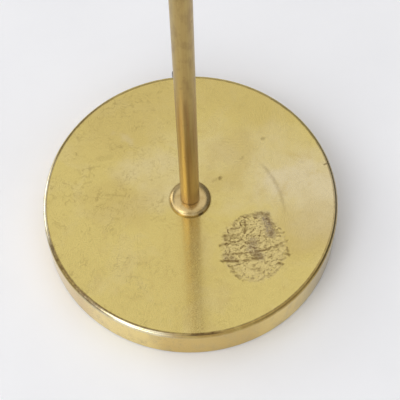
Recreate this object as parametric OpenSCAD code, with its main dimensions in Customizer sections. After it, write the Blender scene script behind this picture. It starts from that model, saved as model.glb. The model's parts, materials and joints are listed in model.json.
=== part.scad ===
// Brass floor lamp: a heavy round base, a slim polished stem and a two-part swing arm
// that carries a tilting shade with a turn switch.
// Millimetres. +Z is up, the floor is z = 0 and the stem stands on the Z axis.
// At rest the swing arm points along +X and the shade hangs straight down.

/* [Base] */
// Outside diameter of the base cover
base_d = 250; // [200:1:320]
// Height of the base above the floor
base_h = 35; // [31:0.5:50]
// Sheet thickness of the base cover
cover_wall = 1; // [0.6:0.1:1.6]
// Outside rounding of the cover's top edge
cover_edge = 3; // [2:0.1:8]
// Height of the cover's rim above the floor
rim_lift = 0.8; // [0.3:0.1:1.5]
// Thickness of the felt pad
pad_t = 2; // [1.6:0.1:4]
// Gap around the felt pad, inside the rim
pad_gap = 1; // [0.5:0.1:4]
// Gap between the iron weight and the cover's wall
weight_gap = 0.5; // [0.3:0.1:2]
// Radial width of the weight's thick outer ring
weight_rim = 25; // [20:1:60]
// Depth of the recess under the weight
recess_h = 23; // [21:0.5:26]

/* [Cord inlet] */
// Bore of the cord bush
cord_bore = 7; // [5:0.1:8]
// Outside diameter of the bush where it passes through the cover
bush_d = 10; // [9:0.1:14]
// Diameter of the bush's outer flange
bush_flange_d = 14; // [13:0.1:18]
// Thickness of the outer flange
bush_flange_t = 3; // [1:0.1:5]
// How far the bush stands out of the cover
bush_out = 16; // [8:0.5:20]
// How far the bush reaches inside the cover
bush_in = 14; // [8:0.5:18]
// Height of the bush's axis above the floor
bush_z = 17; // [13:0.5:18]
// Turn of the bush from straight behind the stem
bush_turn = 3.5; // [0:0.5:30]

/* [Base fastening] */
// Outside diameter of the hollow threaded tubes
thread_d = 10; // [8:0.5:10.5]
// Bore of the hollow threaded tubes
thread_bore = 7; // [4:0.1:7.4]
// Width of the thin nuts across the flats
nut_af = 14; // [13.2:0.1:15]
// Thickness of the thin nuts
nut_h = 4; // [2.5:0.1:5]
// Length of thread past a nut
thread_tail = 0.8; // [0.5:0.1:2]
// Diameter of the base washer
base_washer_d = 30; // [20:1:50]
// Thickness of the base washer
base_washer_t = 1.5; // [1:0.1:3]
// Length of thread inside the stem's foot bush
foot_grip = 18; // [10:1:40]

/* [Terminal block] */
// Length of the terminal block
block_l = 24; // [16:1:40]
// Width of the terminal block
block_w = 16; // [12:1:30]
// Height of the terminal block
block_h = 16; // [14:0.5:18]
// Distance of the block's near face from the stem's axis
block_x = 30; // [22:1:40]
// Diameter of the terminal screws
block_screw_d = 5; // [3:0.1:6]
// How far the terminal screws stand out
block_screw_h = 1.5; // [0.5:0.1:3]

/* [Stem] */
// Outside diameter of the stem tube
stem_d = 16; // [15:0.1:20]
// Wall of the stem tube
stem_wall = 1; // [0.6:0.1:1.4]
// Length of the stem tube
stem_len = 1200; // [800:10:1500]
// Outside diameter of the collar at the stem's foot
collar_d = 35; // [29:0.5:60]
// Height of the collar
collar_h = 5; // [4:0.1:9]
// Ledge inside the collar that the stem stands on
collar_ledge = 2; // [1:0.1:3]
// Flange of the bush at the top of the stem
flange_t = 4; // [2:0.5:8]
// Length of the plug of that bush inside the stem
plug_len = 18; // [10:1:40]

/* [Swivels] */
// Outside diameter of the swivel knuckles
hub_d = 22; // [21:0.1:30]
// Wall of the knuckles
hub_wall = 2; // [1:0.1:2.2]
// Floor of a knuckle, which turns on the pivot
hub_floor = 7; // [5:0.1:12]
// Room above the arm in a knuckle
hub_head = 4.5; // [4:0.1:8]
// Thickness of the friction washers
washer_t = 1; // [0.5:0.1:2]
// Sheet thickness of the disc springs
spring_t = 0.7; // [0.4:0.1:1]
// Height of the disc springs
spring_h = 1.2; // [1.1:0.1:2]
// Depth of a cap's plug
cap_plug = 3; // [1:0.1:4]
// Height of a cap's dome
cap_h = 5; // [3:0.1:10]
// Height of the rim under the dome
cap_rim = 1.2; // [0.5:0.1:2]
// Wall of the short sleeve around an arm's end
sleeve_wall = 2; // [1:0.1:2.2]
// Length of that sleeve
sleeve_len = 4; // [2:0.1:10]
// Wall above the lower elbow knuckle, which holds the elbow pivot
elbow_wall = 7; // [5:0.1:12]

/* [Arms] */
// Outside diameter of the arm tubes
arm_d = 10; // [9:0.1:10.6]
// Wall of the arm tubes
arm_wall = 1; // [0.6:0.1:1.5]
// Stem axis to elbow axis
inner_arm_len = 200; // [150:1:300]
// Elbow axis to neck axis
outer_arm_len = 200; // [150:1:300]
// Grip of the end bush on the outer arm
end_grip = 14; // [8:0.5:30]
// Stop rib inside the end bush
end_rib = 3; // [1:0.1:6]
// Grip of the end bush on the tilt pivot
end_thread = 9; // [6:0.5:20]

/* [Wiring] */
// Outside diameter of the internal wire
wire_d = 3; // [2:0.1:3.6]
// Bend radius of the wire inside the knuckles
wire_bend = 6; // [4:0.1:7]

/* [Head] */
// Tilt axis to the top of the lampholder cap
neck_drop = 40; // [30:1:90]
// How far the neck reaches into the lampholder cap
neck_in = 8; // [7:0.1:12]
// Diameter of the stop ring on the neck
neck_ring_d = 16; // [13:0.1:24]
// Height of the stop ring on the neck
neck_ring_h = 3; // [2:0.1:6]
// Room between the neck's end and the switch block
neck_gap = 1; // [0.5:0.1:3]
// Outside diameter of the lampholder cap
cap_d = 34; // [33.6:0.1:44]
// Wall of the lampholder cap
cap_wall = 1.2; // [0.8:0.1:1.4]
// Rounding of the lampholder cap's shoulder
cap_round = 5; // [2:0.1:5.5]
// Outside diameter of the lampholder
holder_d = 28; // [24:0.1:28.2]
// Length of the lampholder inside its cap
holder_in = 13; // [9:0.5:30]
// Length of the lampholder inside the shade
holder_skirt = 26; // [22:0.5:32]
// Roof of the lampholder above the socket
holder_roof = 7; // [4:0.5:9]
// Locating flange of the lampholder
holder_flange_t = 3; // [1:0.1:6]
// Diameter of the ring nut that holds the shade
shade_ring_d = 40; // [34:0.5:60]
// Height of the ring nut that holds the shade
shade_ring_h = 6; // [3:0.1:10]

/* [Shade] */
// Diameter of the shade's mouth
shade_d = 160; // [130:1:168]
// Height of the shade
shade_h = 105; // [90:1:112]
// Sheet thickness of the shade
shade_wall = 0.8; // [0.5:0.1:1.5]
// Diameter of the shade's flat top
shade_flat_d = 44; // [40:0.5:70]
// Thickness of the rolled bead at the mouth
bead_d = 3.2; // [2:0.1:5]

/* [Lamp bulb] */
// Diameter of the bulb's globe
bulb_d = 45; // [36:0.5:48]
// Length of the whole bulb
bulb_len = 78; // [70:1:84]
// Diameter of the bulb's screw cap
screw_d = 13.9; // [12:0.1:14.5]
// Length of the bulb's screw cap with its contact
screw_len = 22; // [18:0.5:24]
// Wall of the bulb's glass
glass_wall = 0.8; // [0.5:0.1:1.2]
// Wall of the threaded shell in the socket
shell_wall = 0.8; // [0.5:0.1:1.2]
// Diameter of the centre contact
contact_d = 6; // [4:0.1:8]
// Height of the centre contact
contact_h = 3; // [1:0.1:5]

/* [Switch] */
// Length of the switch block
switch_l = 20; // [16:0.5:20.5]
// Width of the switch block
switch_w = 18; // [14:0.5:19]
// Height of the switch block
switch_h = 16; // [12:0.5:24]
// Diameter of the switch's threaded neck
switch_neck_d = 9; // [8:0.1:11]
// Diameter of the ring nut on that neck
switch_ring_d = 14; // [12.5:0.1:16]
// Thickness of the ring nut on that neck
switch_ring_t = 2.5; // [1.5:0.1:4]
// Diameter of the switch spindle
spindle_d = 5; // [4:0.1:6]
// Diameter of the knob
knob_d = 15; // [12:0.1:20]
// Length of the knob
knob_len = 12; // [8:0.1:18]
// Front wall of the knob, beyond the spindle
knob_wall = 1.5; // [1:0.1:3]
// Radius of a flute on the knob
flute_r = 0.5; // [0.3:0.05:0.8]
// Number of flutes around the knob
knob_flutes = 18; // [12:1:24]

/* [Fits] */
// Radial gap of soldered and glued joints
solder_gap = 0.1; // [0.05:0.01:0.15]
// Radial gap of threads
thread_gap = 0.1; // [0.05:0.01:0.15]
// Radial running clearance of pivots and spindles
journal_gap = 0.05; // [0.02:0.01:0.08]
// Axial play of pieces that turn
play = 0.05; // [0.03:0.01:0.1]
// Radial gap of plain clearance holes
hole_gap = 0.25; // [0.15:0.01:0.4]
// Gap between pieces that turn past each other
turn_gap = 0.4; // [0.3:0.01:0.6]

/* [Hidden] */
$fn = 96;

// Colours of the finishes
BRASS = [0.79, 0.69, 0.42];
IRON = [0.27, 0.27, 0.28];
FELT = [0.22, 0.30, 0.24];
BAKELITE = [0.12, 0.10, 0.09];
STEEL = [0.66, 0.67, 0.68];
FIBRE = [0.40, 0.18, 0.12];
SHEATH = [0.85, 0.83, 0.78];
GLASS = [0.95, 0.94, 0.90];

// Small chamfers and roundings shared by the turned pieces
EDGE = 1;
FINE_EDGE = 0.5;

// Base
base_r = base_d / 2;
weight_r = base_r - cover_wall - weight_gap;
weight_top = base_h - cover_wall;
recess_r = weight_r - weight_rim;
recess_z = pad_t + recess_h;
thread_r = thread_d / 2;
thread_hole_r = thread_r + hole_gap;
base_nut_z = recess_z - base_washer_t - nut_h;
nipple_z = base_nut_z - thread_tail;

// Stem
stem_r = stem_d / 2;
stem_bore_r = stem_r - stem_wall;
stem_z = base_h + collar_ledge;
stem_top = stem_z + stem_len;
shoulder_z = stem_top + flange_t;

// Swivel, measured along its own axis from the seat
hub_r = hub_d / 2;
chamber_r = hub_r - hub_wall;
arm_r = arm_d / 2;
hub_z = washer_t + play;
floor_z = hub_z + hub_floor;
spring_z = floor_z + play;
swivel_nut_z = spring_z + spring_h;
pivot_end = swivel_nut_z + nut_h + thread_tail;
arm_rise = pivot_end + turn_gap + wire_bend;
hub_top = arm_rise + arm_r + hub_head;
tube_start = chamber_r + FINE_EDGE;

// Elbow and tilt seats
inner_arm_z = shoulder_z + arm_rise;
elbow_bottom = inner_arm_z - arm_r - hub_head;
elbow_roof = inner_arm_z + wire_bend + FINE_EDGE;
elbow_z = elbow_roof + elbow_wall;
outer_arm_z = elbow_z + arm_rise;
neck_x = inner_arm_len + outer_arm_len;
tilt_x = neck_x - arm_rise;
end_bush_len = end_grip + end_rib + end_thread;

// Head, measured down from the tilt axis
neck_end = neck_drop + neck_in;
switch_z = neck_end + neck_gap;
holder_z = switch_z + switch_h;
cap_bottom = holder_z + holder_in;
ring_z = cap_bottom + shade_wall;
holder_end = cap_bottom + holder_skirt;
cap_r = cap_d / 2;
cap_bore_r = cap_r - cap_wall;
holder_r = holder_d / 2;
socket_z = holder_z + holder_roof;
screw_r = screw_d / 2;
shell_r = screw_r + hole_gap;
socket_r = shell_r + shell_wall + solder_gap;
contact_r = contact_d / 2;
bulb_z = socket_z + contact_h + hole_gap;
glass_z = bulb_z + screw_len;
globe_r = bulb_d / 2;
globe_z = bulb_z + bulb_len - globe_r;
spindle_z = switch_z + switch_h / 2;
spindle_r = spindle_d / 2;
switch_neck_end = cap_r + switch_ring_t + thread_tail;
spindle_end = switch_neck_end + turn_gap + knob_len - knob_wall;

// Points along an arc around a centre, from one angle to another
function arc(centre, r, from, to, steps = 8) =
    [for (i = [0 : steps]) let (a = from + (to - from) * i / steps) centre + r * [cos(a), sin(a)]];

// Points of a dome that is h high over a circle of radius a at height z, outer edge first
function dome(a, h, z, steps = 10) =
    let (r = (a * a + h * h) / (2 * h), half = asin(a / r))
    arc([0, z + h - r], r, 90 - half, 90, steps);

module tube(r, bore_r, from, to) {
    translate([0, 0, from]) difference() {
        cylinder(r = r, h = to - from);
        translate([0, 0, -EDGE]) cylinder(r = bore_r, h = to - from + 2 * EDGE);
    }
}

// Tube along X
module tube_x(r, bore_r, from, to) {
    rotate([0, 90, 0]) tube(r, bore_r, from, to);
}

module hex_nut(af, bore_r, from, h) {
    translate([0, 0, from]) difference() {
        cylinder(d = af / cos(30), h = h, $fn = 6);
        translate([0, 0, -EDGE]) cylinder(r = bore_r, h = h + 2 * EDGE);
    }
}

// Frames of the moving groups
module at_bush() {
    rotate([0, 0, bush_turn]) translate([0, base_r, bush_z]) rotate([-90, 0, 0]) children();
}
module at_shoulder() {
    translate([0, 0, shoulder_z]) children();
}
module at_elbow() {
    translate([inner_arm_len, 0, elbow_z]) children();
}
module at_tilt() {
    translate([tilt_x, 0, outer_arm_z]) rotate([0, 90, 0]) children();
}
module at_head() {
    translate([neck_x, 0, outer_arm_z]) rotate([180, 0, 0]) children();
}

// Quarter bend of the wire in the XZ plane around its own centre
module wire_quarter(turn) {
    rotate([0, turn, 0]) rotate([90, 0, 0])
        rotate_extrude(angle = 90) translate([wire_bend, 0]) circle(d = wire_d, $fn = 24);
}
module wire_up(from, to) {
    translate([0, 0, from]) cylinder(d = wire_d, h = to - from, $fn = 24);
}
module wire_along(from, to) {
    rotate([0, 90, 0]) wire_up(from, to);
}
// Wire that leaves a pivot and turns into the arm, in a swivel's frame
module wire_from_pivot() {
    translate([wire_bend, 0, pivot_end + turn_gap]) wire_quarter(-90);
}

// Swivel pieces, in a swivel's frame
module pivot(depth) {
    tube(thread_r, thread_bore / 2, -depth, pivot_end);
}
module friction_washer() {
    tube(hub_r - EDGE, thread_hole_r, 0, washer_t);
}
module disc_spring() {
    spring_r = chamber_r - FINE_EDGE;
    rotate_extrude() polygon([
        [thread_hole_r, spring_z + spring_h - spring_t], [spring_r, spring_z],
        [spring_r, spring_z + spring_t], [thread_hole_r, spring_z + spring_h]
    ]);
}
module swivel_nut() {
    hex_nut(nut_af, thread_r + thread_gap, swivel_nut_z, nut_h);
}
// Short sleeve around an arm's end, pointing along +X
module arm_sleeve() {
    sleeve_r = arm_r + sleeve_wall;
    sleeve_end = hub_r + sleeve_len;
    rotate([0, 90, 0]) rotate_extrude() polygon([
        [0, 0], [sleeve_r, 0], [sleeve_r, sleeve_end - FINE_EDGE],
        [sleeve_r - FINE_EDGE, sleeve_end], [0, sleeve_end]
    ]);
}
module arm_socket() {
    rotate([0, 90, 0]) cylinder(r = arm_r + solder_gap, h = hub_r + sleeve_len + EDGE);
}
module knuckle_body(from, to) {
    rotate_extrude() polygon(concat(
        [[0, from]],
        arc([hub_r - EDGE, from + EDGE], EDGE, -90, 0, 4),
        arc([hub_r - FINE_EDGE, to - FINE_EDGE], FINE_EDGE, 0, 90, 4),
        [[0, to]]
    ));
}
module swivel_hub() {
    difference() {
        union() {
            knuckle_body(hub_z, hub_top);
            translate([0, 0, arm_rise]) arm_sleeve();
        }
        translate([0, 0, floor_z]) cylinder(r = chamber_r, h = hub_top);
        cylinder(r = thread_r + journal_gap, h = hub_top);
        translate([0, 0, arm_rise]) arm_socket();
    }
}
// Cap with its seat at z = 0
module hub_cap() {
    plug_r = chamber_r - solder_gap;
    rotate_extrude() polygon(concat(
        [[0, -cap_plug], [plug_r, -cap_plug], [plug_r, 0], [hub_r - FINE_EDGE, 0], [hub_r - FINE_EDGE, cap_rim]],
        dome(hub_r - EDGE, cap_h - cap_rim, cap_rim)
    ));
}

// Base pieces
module base_pad() {
    pad_r = base_r - cover_wall - pad_gap;
    color(FELT) rotate_extrude() polygon(concat(
        [[0, 0]],
        arc([pad_r - FINE_EDGE, FINE_EDGE], FINE_EDGE, -90, 0, 4),
        [[pad_r, pad_t], [0, pad_t]]
    ));
}
module base_cover() {
    bend = [base_r - cover_edge, base_h - cover_edge];
    color(BRASS) difference() {
        rotate_extrude() polygon(concat(
            [[base_r, rim_lift]],
            arc(bend, cover_edge, 0, 90, 12),
            [[thread_hole_r, base_h], [thread_hole_r, weight_top]],
            arc(bend, cover_edge - cover_wall, 90, 0, 12),
            [[base_r - cover_wall, rim_lift]]
        ));
        at_bush() translate([0, 0, -bush_in]) cylinder(d = bush_d + 2 * hole_gap, h = bush_in + bush_out);
    }
}
module base_weight() {
    color(IRON) difference() {
        rotate_extrude() polygon([
            [thread_hole_r, weight_top], [weight_r - cover_edge, weight_top],
            [weight_r, weight_top - cover_edge], [weight_r, pad_t], [recess_r, pad_t],
            [recess_r, recess_z], [thread_hole_r, recess_z]
        ]);
        at_bush() translate([0, 0, -weight_rim - bush_in])
            cylinder(d = bush_d + 2 * hole_gap, h = weight_rim + 2 * bush_in);
    }
}
module cord_bush() {
    outer = bush_d / 2;
    bore = cord_bore / 2;
    flange = bush_flange_d / 2;
    color(BAKELITE) at_bush() rotate_extrude() polygon(concat(
        [[bore, -bush_in], [outer, -bush_in], [outer, 0], [flange, 0]],
        arc([flange - EDGE, bush_flange_t - EDGE], EDGE, 0, 90, 4),
        [[outer, bush_flange_t]],
        arc([outer - EDGE, bush_out - EDGE], EDGE, 0, 60, 4),
        [[bore, bush_out]]
    ));
}
module base_washer() {
    color(STEEL) tube(base_washer_d / 2, thread_hole_r, recess_z - base_washer_t, recess_z);
}
module base_nut() {
    color(STEEL) hex_nut(nut_af, thread_r + thread_gap, base_nut_z, nut_h);
}
module stem_nipple() {
    color(STEEL) tube(thread_r, thread_bore / 2, nipple_z, stem_z + foot_grip);
}
module terminal_block() {
    color(SHEATH) translate([-block_x - block_l, -block_w / 2, recess_z - block_h])
        cube([block_l, block_w, block_h]);
}
module terminal_screws() {
    color(BRASS) for (side = [-1, 1])
        translate([-block_x - block_l / 2, side * block_w / 4, recess_z - block_h - block_screw_h])
            cylinder(d = block_screw_d, h = block_screw_h);
}

// Stem pieces
module stem_collar() {
    bore_r = stem_r + hole_gap;
    outer_r = collar_d / 2;
    round_r = min(collar_h, outer_r - bore_r) - FINE_EDGE;
    color(BRASS) rotate_extrude() polygon(concat(
        [[thread_hole_r, base_h], [outer_r, base_h]],
        arc([outer_r - round_r, base_h + collar_h - round_r], round_r, 0, 90, 12),
        [[bore_r, base_h + collar_h], [bore_r, stem_z], [thread_hole_r, stem_z]]
    ));
}
module stem_foot_bush() {
    color(BRASS) tube(stem_bore_r - solder_gap, thread_r + thread_gap, stem_z, stem_z + foot_grip);
}
module stem_tube() {
    color(BRASS) tube(stem_r, stem_bore_r, stem_z, stem_top);
}
module stem_head_bush() {
    plug_r = stem_bore_r - solder_gap;
    bore_r = thread_r + thread_gap;
    color(BRASS) rotate_extrude() polygon(concat(
        [[bore_r, stem_top - plug_len], [plug_r, stem_top - plug_len], [plug_r, stem_top]],
        arc([hub_r - EDGE, stem_top + EDGE], EDGE, -90, 0, 4),
        arc([hub_r - FINE_EDGE, shoulder_z - FINE_EDGE], FINE_EDGE, 0, 90, 4),
        [[bore_r, shoulder_z]]
    ));
}
module stem_wire() {
    turn_z = nipple_z - hole_gap;
    color(SHEATH) {
        translate([0, 0, turn_z - wire_bend]) wire_along(-block_x, -wire_bend);
        translate([-wire_bend, 0, turn_z]) wire_quarter(90);
        wire_up(turn_z, shoulder_z + pivot_end);
    }
}

// Shoulder swivel
module shoulder_pivot() {
    color(STEEL) at_shoulder() pivot(flange_t + plug_len);
}
module shoulder_washer() {
    color(FIBRE) at_shoulder() friction_washer();
}
module shoulder_spring() {
    color(STEEL) at_shoulder() disc_spring();
}
module shoulder_nut() {
    color(STEEL) at_shoulder() swivel_nut();
}
module shoulder_hub() {
    color(BRASS) at_shoulder() swivel_hub();
}
module shoulder_cap() {
    color(BRASS) at_shoulder() translate([0, 0, hub_top]) hub_cap();
}

// Inner arm and the lower half of the elbow
module inner_arm_tube() {
    color(BRASS) translate([0, 0, inner_arm_z])
        tube_x(arm_r, arm_r - arm_wall, tube_start, inner_arm_len - tube_start);
}
module inner_arm_wire() {
    color(SHEATH) {
        at_shoulder() wire_from_pivot();
        translate([0, 0, inner_arm_z]) wire_along(wire_bend, inner_arm_len - wire_bend);
        translate([inner_arm_len - wire_bend, 0, inner_arm_z + wire_bend]) wire_quarter(90);
        translate([inner_arm_len, 0, 0]) wire_up(inner_arm_z + wire_bend, elbow_z + pivot_end);
    }
}
module elbow_base() {
    color(BRASS) translate([inner_arm_len, 0, 0]) difference() {
        union() {
            knuckle_body(elbow_bottom, elbow_z);
            translate([0, 0, inner_arm_z]) rotate([0, 0, 180]) arm_sleeve();
        }
        translate([0, 0, elbow_bottom - EDGE]) cylinder(r = chamber_r, h = elbow_roof - elbow_bottom + EDGE);
        translate([0, 0, elbow_bottom]) cylinder(r = thread_r + thread_gap, h = elbow_z - elbow_bottom + EDGE);
        translate([0, 0, inner_arm_z]) rotate([0, 0, 180]) arm_socket();
    }
}
module elbow_base_cap() {
    color(BRASS) translate([inner_arm_len, 0, elbow_bottom]) mirror([0, 0, 1]) hub_cap();
}

// Elbow swivel
module elbow_pivot() {
    color(STEEL) at_elbow() pivot(elbow_wall);
}
module elbow_washer() {
    color(FIBRE) at_elbow() friction_washer();
}
module elbow_spring() {
    color(STEEL) at_elbow() disc_spring();
}
module elbow_nut() {
    color(STEEL) at_elbow() swivel_nut();
}
module elbow_hub() {
    color(BRASS) at_elbow() swivel_hub();
}
module elbow_cap() {
    color(BRASS) at_elbow() translate([0, 0, hub_top]) hub_cap();
}

// Outer arm
module outer_arm_tube() {
    color(BRASS) translate([0, 0, outer_arm_z])
        tube_x(arm_r, arm_r - arm_wall, inner_arm_len + tube_start, tilt_x - end_rib - end_thread);
}
module outer_arm_wire() {
    color(SHEATH) {
        at_elbow() wire_from_pivot();
        translate([0, 0, outer_arm_z]) wire_along(inner_arm_len + wire_bend, tilt_x + pivot_end);
    }
}
module arm_end_bush() {
    thread_bore_r = thread_r + thread_gap;
    arm_bore_r = arm_r + solder_gap;
    rib_r = thread_bore / 2;
    color(BRASS) at_tilt() rotate_extrude() polygon(concat(
        [[arm_bore_r, -end_bush_len]],
        arc([hub_r - EDGE, EDGE - end_bush_len], EDGE, -90, 0, 4),
        arc([hub_r - FINE_EDGE, -FINE_EDGE], FINE_EDGE, 0, 90, 4),
        [
            [thread_bore_r, 0], [thread_bore_r, -end_thread], [rib_r, -end_thread],
            [rib_r, -end_thread - end_rib], [arm_bore_r, -end_thread - end_rib]
        ]
    ));
}

// Tilt swivel
module tilt_pivot() {
    color(STEEL) at_tilt() pivot(end_thread);
}
module tilt_washer() {
    color(FIBRE) at_tilt() friction_washer();
}
module tilt_spring() {
    color(STEEL) at_tilt() disc_spring();
}
module tilt_nut() {
    color(STEEL) at_tilt() swivel_nut();
}
module tilt_hub() {
    color(BRASS) at_tilt() swivel_hub();
}
module tilt_cap() {
    color(BRASS) at_tilt() translate([0, 0, hub_top]) hub_cap();
}

// Head
module neck_tube() {
    color(BRASS) at_head() tube(arm_r, arm_r - arm_wall, tube_start, neck_end);
}
module neck_ring() {
    color(BRASS) at_head() tube(neck_ring_d / 2, arm_r + solder_gap, neck_drop - neck_ring_h, neck_drop);
}
module neck_nut() {
    color(STEEL) at_head() hex_nut(nut_af, arm_r + thread_gap, neck_drop + cap_wall, nut_h);
}
module head_wire() {
    color(SHEATH) {
        at_tilt() wire_from_pivot();
        at_head() wire_up(wire_bend, switch_z);
    }
}
module lampholder_cap() {
    bend = [cap_r - cap_round, neck_drop + cap_round];
    hole_r = arm_r + hole_gap;
    color(BRASS) at_head() difference() {
        rotate_extrude() polygon(concat(
            [[hole_r, neck_drop]],
            arc(bend, cap_round, -90, 0, 10),
            [[cap_r, cap_bottom], [cap_bore_r, cap_bottom]],
            arc(bend, cap_round - cap_wall, 0, -90, 10),
            [[hole_r, neck_drop + cap_wall]]
        ));
        translate([0, 0, spindle_z]) rotate([0, 90, 0]) cylinder(d = switch_neck_d + 2 * hole_gap, h = cap_d);
    }
}
module lampholder_body() {
    flange_r = cap_bore_r - hole_gap;
    color(BAKELITE) at_head() rotate_extrude() polygon([
        [0, holder_z], [flange_r, holder_z], [flange_r, holder_z + holder_flange_t],
        [holder_r, holder_z + holder_flange_t], [holder_r, holder_end - EDGE], [holder_r - EDGE, holder_end],
        [socket_r, holder_end], [socket_r, socket_z], [0, socket_z]
    ]);
}
module socket_shell() {
    color(BRASS) at_head()
        tube(shell_r + shell_wall, shell_r, socket_z, glass_z);
}
module socket_contact() {
    color(BRASS) at_head() translate([0, 0, socket_z]) cylinder(r = contact_r, h = contact_h);
}
module shade_ring() {
    bore_r = holder_r + thread_gap;
    ring_r = shade_ring_d / 2;
    color(BRASS) at_head() rotate_extrude() polygon(concat(
        [[bore_r, ring_z]],
        arc([ring_r - EDGE, ring_z + EDGE], EDGE, -90, 0, 4),
        arc([ring_r - EDGE, ring_z + shade_ring_h - EDGE], EDGE, 0, 90, 4),
        [[bore_r, ring_z + shade_ring_h]]
    ));
}

// Outline of the shade's dome from its flat top to its mouth
function shade_curve(r, top, steps = 20) =
    let (start = asin(shade_flat_d / shade_d), h = cap_bottom + shade_h - top)
    [for (i = [0 : steps]) let (a = start + (90 - start) * i / steps)
        [r * sin(a), top + h * (cos(start) - cos(a)) / cos(start)]];
function backwards(points) = [for (i = [len(points) - 1 : -1 : 0]) points[i]];

module shade() {
    shade_r = shade_d / 2;
    hole_r = holder_r + hole_gap;
    color(BRASS) at_head() {
        rotate_extrude() polygon(concat(
            [[hole_r, cap_bottom]],
            shade_curve(shade_r, cap_bottom),
            backwards(shade_curve(shade_r - shade_wall, ring_z)),
            [[hole_r, ring_z]]
        ));
        translate([0, 0, cap_bottom + shade_h])
            rotate_extrude() translate([shade_r - shade_wall / 2, 0]) circle(d = bead_d, $fn = 32);
    }
}

// Lamp bulb
module bulb_screw_cap() {
    tip_r = contact_r;
    tip_h = 2;
    taper_h = 4;
    color(STEEL) at_head() rotate_extrude() polygon([
        [0, bulb_z], [tip_r, bulb_z], [tip_r, bulb_z + tip_h],
        [screw_r, bulb_z + tip_h + taper_h], [screw_r, glass_z], [0, glass_z]
    ]);
}
// Outline of the bulb's glass at a distance inside its outer face
function glass_outline(inset) =
    let (r = globe_r - inset, neck_r = screw_r - inset, join = 145)
    concat(
        [[neck_r, glass_z], [neck_r, holder_end]],
        arc([0, globe_z], r, 90 - join, 90, 24)
    );
module bulb_glass() {
    color(GLASS) at_head() rotate_extrude() polygon(concat(
        glass_outline(0),
        backwards(glass_outline(glass_wall))
    ));
}

// Switch
module switch_block() {
    neck_r = switch_neck_d / 2;
    color(BAKELITE) at_head() difference() {
        union() {
            translate([-switch_l / 2, -switch_w / 2, switch_z]) cube([switch_l, switch_w, switch_h]);
            translate([0, 0, spindle_z]) rotate([0, 90, 0]) cylinder(r = neck_r, h = switch_neck_end);
        }
        translate([0, 0, spindle_z]) rotate([0, 90, 0])
            cylinder(r = spindle_r + journal_gap, h = switch_neck_end + EDGE);
    }
}
module switch_ring() {
    color(BRASS) at_head() translate([0, 0, spindle_z])
        tube_x(switch_ring_d / 2, switch_neck_d / 2 + thread_gap, cap_r, cap_r + switch_ring_t);
}
module switch_spindle() {
    color(STEEL) at_head() translate([play, 0, spindle_z]) rotate([0, 90, 0])
        cylinder(r = spindle_r, h = spindle_end - play);
}
module switch_knob() {
    knob_r = knob_d / 2;
    knob_start = switch_neck_end + turn_gap;
    bore_depth = knob_len - knob_wall + solder_gap;
    color(BRASS) at_head() translate([knob_start, 0, spindle_z]) rotate([0, 90, 0]) difference() {
        rotate_extrude() polygon(concat(
            [[0, 0]],
            arc([knob_r - EDGE, EDGE], EDGE, -90, 0, 4),
            arc([knob_r - EDGE, knob_len - EDGE], EDGE, 0, 90, 4),
            [[0, knob_len]]
        ));
        translate([0, 0, -EDGE]) cylinder(r = spindle_r + solder_gap, h = bore_depth + EDGE);
        for (i = [0 : knob_flutes - 1])
            rotate([0, 0, i * 360 / knob_flutes]) translate([knob_r, 0, -EDGE])
                cylinder(r = flute_r, h = knob_len + 2 * EDGE, $fn = 16);
    }
}

base_pad();
base_cover();
base_weight();
cord_bush();
base_washer();
base_nut();
stem_nipple();
terminal_block();
terminal_screws();
stem_collar();
stem_foot_bush();
stem_tube();
stem_head_bush();
stem_wire();
shoulder_pivot();
shoulder_washer();
shoulder_spring();
shoulder_nut();
shoulder_hub();
shoulder_cap();
inner_arm_tube();
inner_arm_wire();
elbow_base();
elbow_base_cap();
elbow_pivot();
elbow_washer();
elbow_spring();
elbow_nut();
elbow_hub();
elbow_cap();
outer_arm_tube();
outer_arm_wire();
arm_end_bush();
tilt_pivot();
tilt_washer();
tilt_spring();
tilt_nut();
tilt_hub();
tilt_cap();
neck_tube();
neck_ring();
neck_nut();
head_wire();
lampholder_cap();
lampholder_body();
socket_shell();
socket_contact();
shade_ring();
shade();
bulb_screw_cap();
bulb_glass();
switch_block();
switch_ring();
switch_spindle();
switch_knob();
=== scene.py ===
# Looks of a brass floor lamp: a worn round base, a polished stem, a swing arm and a dome shade
import json
import math

import bmesh
import bpy
from mathutils import Matrix, Vector


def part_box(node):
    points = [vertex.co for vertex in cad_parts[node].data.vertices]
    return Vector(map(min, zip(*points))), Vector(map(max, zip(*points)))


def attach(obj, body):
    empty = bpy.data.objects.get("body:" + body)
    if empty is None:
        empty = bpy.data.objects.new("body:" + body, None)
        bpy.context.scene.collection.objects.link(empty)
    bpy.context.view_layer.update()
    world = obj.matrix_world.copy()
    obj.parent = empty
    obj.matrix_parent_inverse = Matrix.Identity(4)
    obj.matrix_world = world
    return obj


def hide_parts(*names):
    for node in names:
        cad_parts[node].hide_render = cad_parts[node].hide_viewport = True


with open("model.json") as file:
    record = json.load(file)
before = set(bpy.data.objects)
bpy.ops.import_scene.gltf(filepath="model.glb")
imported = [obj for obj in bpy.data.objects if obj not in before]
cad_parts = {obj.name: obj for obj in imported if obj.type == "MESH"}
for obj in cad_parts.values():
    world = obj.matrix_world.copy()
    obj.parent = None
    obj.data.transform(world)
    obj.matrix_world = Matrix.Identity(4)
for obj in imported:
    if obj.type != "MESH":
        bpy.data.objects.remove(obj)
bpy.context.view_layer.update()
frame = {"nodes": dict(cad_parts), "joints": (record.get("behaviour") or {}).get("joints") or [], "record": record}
scene = bpy.context.scene
MM = 0.001
# Where each joint is, in metres
JOINTS = {joint["name"]: Vector(joint["pos_m"]) for joint in frame["joints"]}

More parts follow.
